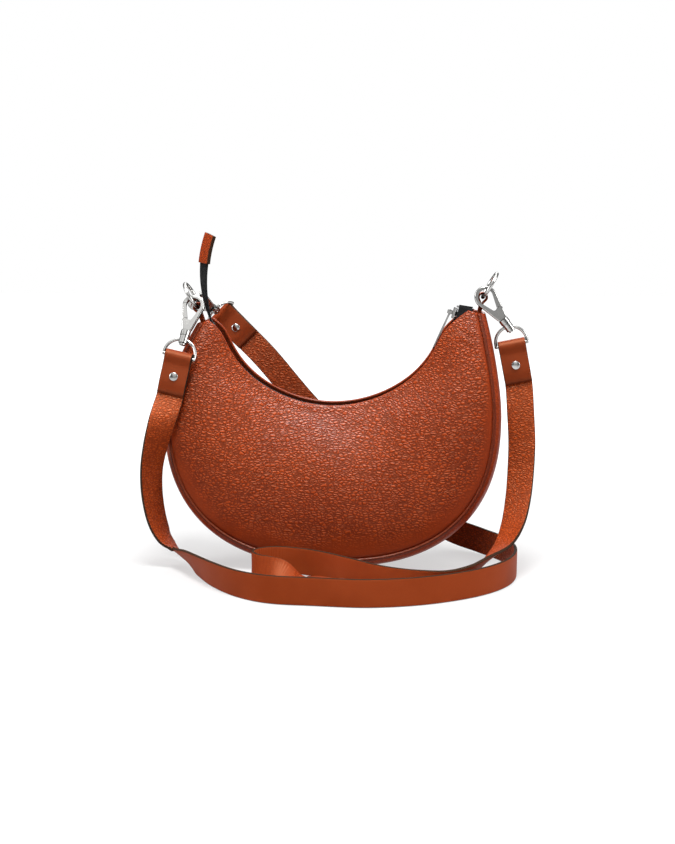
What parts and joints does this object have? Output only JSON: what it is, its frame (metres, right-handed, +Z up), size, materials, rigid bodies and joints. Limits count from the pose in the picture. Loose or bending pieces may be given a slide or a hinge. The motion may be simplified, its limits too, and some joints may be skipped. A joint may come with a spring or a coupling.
{
  "type": "half moon bag",
  "caption": "Crescent leather shoulder bag with a zip along its curved mouth, a ring at each horn and straps clipped on with swivel snap hooks",
  "frame": {"origin": "On the floor under the middle of the bag's flat foot", "axes": "X to the right along the bag as seen from its front, Y to the back, Z up"},
  "size_m": [0.3225, 0.1801, 0.2764],
  "materials": {
    "leather": "pebbled cognac leather with dark painted edges",
    "lining": "dark woven lining",
    "tape": "black woven zip tape",
    "coil": "black nylon zip coil",
    "nickel": "bright nickel plate"
  },
  "bodies": {
    "bag": {"front_panel": "leather", "back_panel": "leather", "gusset": "leather", "lining_front": "lining", "lining_back": "lining", "lining_gusset": "lining", "zip_tape_front": "tape", "zip_coil_front": "coil", "zip_tape_back": "tape", "zip_coil_back": "coil", "zip_end_stops": "nickel", "zip_tail": "tape", "zip_tail_cap": "leather", "ring_tab_left": "leather", "ring_tab_right": "leather", "long_strap": "leather", "short_strap": "leather", "long_strap_rivets": "nickel", "short_strap_rivets": "nickel", "swivel_eye_front_left": "nickel", "swivel_eye_rear_left": "nickel", "swivel_eye_right": "nickel"},
    "slider": {"zip_slider": "nickel"},
    "pull": {"zip_pull": "nickel"},
    "left_ring": {"ring_left": "nickel"},
    "right_ring": {"ring_right": "nickel"},
    "free_eye": {"swivel_eye_free": "nickel"},
    "hook_front_left": {"hook_body_front_left": "nickel", "gate_pin_front_left": "nickel"},
    "gate_front_left": {"hook_gate_front_left": "nickel"},
    "hook_rear_left": {"hook_body_rear_left": "nickel", "gate_pin_rear_left": "nickel"},
    "gate_rear_left": {"hook_gate_rear_left": "nickel"},
    "hook_right": {"hook_body_right": "nickel", "gate_pin_right": "nickel"},
    "gate_right": {"hook_gate_right": "nickel"},
    "hook_free": {"hook_body_free": "nickel", "gate_pin_free": "nickel"},
    "gate_free": {"hook_gate_free": "nickel"}
  },
  "joints": [
    {"name": "zip_slide", "type": "hinge", "parent": "bag", "child": "slider", "pos_m": [0, 0, 0.238], "axis": [0, 1, 0], "range_deg": [0, 136]},
    {"name": "pull_swing", "type": "hinge", "parent": "slider", "child": "pull", "pos_m": [0.09659, 0, 0.21212], "axis": [0, 1, 0], "range_deg": [0, 150]},
    {"name": "left_ring_swing", "type": "hinge", "parent": "bag", "child": "left_ring", "pos_m": [-0.11078, 0, 0.21462], "axis": [0, 1, 0], "range_deg": [-4, 12]},
    {"name": "right_ring_swing", "type": "hinge", "parent": "bag", "child": "right_ring", "pos_m": [0.12277, 0, 0.22417], "axis": [0, 1, 0], "range_deg": [-10, 7]},
    {"name": "free_eye_lift", "type": "hinge", "parent": "bag", "child": "free_eye", "pos_m": [0.01008, -0.086, 0.0044], "axis": [-0.4108, -0.9117, 0], "range_deg": [0, 70]},
    {"name": "front_left_swivel", "type": "hinge", "parent": "bag", "child": "hook_front_left", "pos_m": [-0.11927, -0.02285, 0.19037], "axis": [0.2064, 0.452, 0.8678], "range_deg": [-12, 3]},
    {"name": "front_left_gate", "type": "hinge", "parent": "hook_front_left", "child": "gate_front_left", "pos_m": [-0.1198, -0.01514, 0.20585], "axis": [-0.0751, 0.8916, -0.4465], "range_deg": [0, 14], "stiffness_Nm_per_rad": 0.002},
    {"name": "rear_left_swivel", "type": "hinge", "parent": "bag", "child": "hook_rear_left", "pos_m": [-0.10379, 0.03838, 0.20977], "axis": [-0.3078, -0.8988, 0.3122], "range_deg": [-8, 8]},
    {"name": "rear_left_gate", "type": "hinge", "parent": "hook_rear_left", "child": "gate_rear_left", "pos_m": [-0.11188, 0.02328, 0.21213], "axis": [-0.631, 0.4384, 0.64], "range_deg": [0, 14], "stiffness_Nm_per_rad": 0.002},
    {"name": "right_swivel", "type": "hinge", "parent": "bag", "child": "hook_right", "pos_m": [0.14369, -0.00723, 0.20105], "axis": [-0.6229, 0.0239, 0.7819], "range_deg": [-2, 12]},
    {"name": "right_gate", "type": "hinge", "parent": "hook_right", "child": "gate_right", "pos_m": [0.13644, -0.00675, 0.21674], "axis": [0, -0.9995, 0.0306], "range_deg": [0, 14], "stiffness_Nm_per_rad": 0.002},
    {"name": "free_swivel", "type": "hinge", "parent": "free_eye", "child": "hook_free", "pos_m": [0.02348, -0.09204, 0.0044], "axis": [0.9117, -0.4108, 0], "range_deg": [0, 180]},
    {"name": "free_gate", "type": "hinge", "parent": "hook_free", "child": "gate_free", "pos_m": [0.04048, -0.0952, 0.0044], "axis": [0, 0, -1], "range_deg": [0, 14], "stiffness_Nm_per_rad": 0.002}
  ]
}
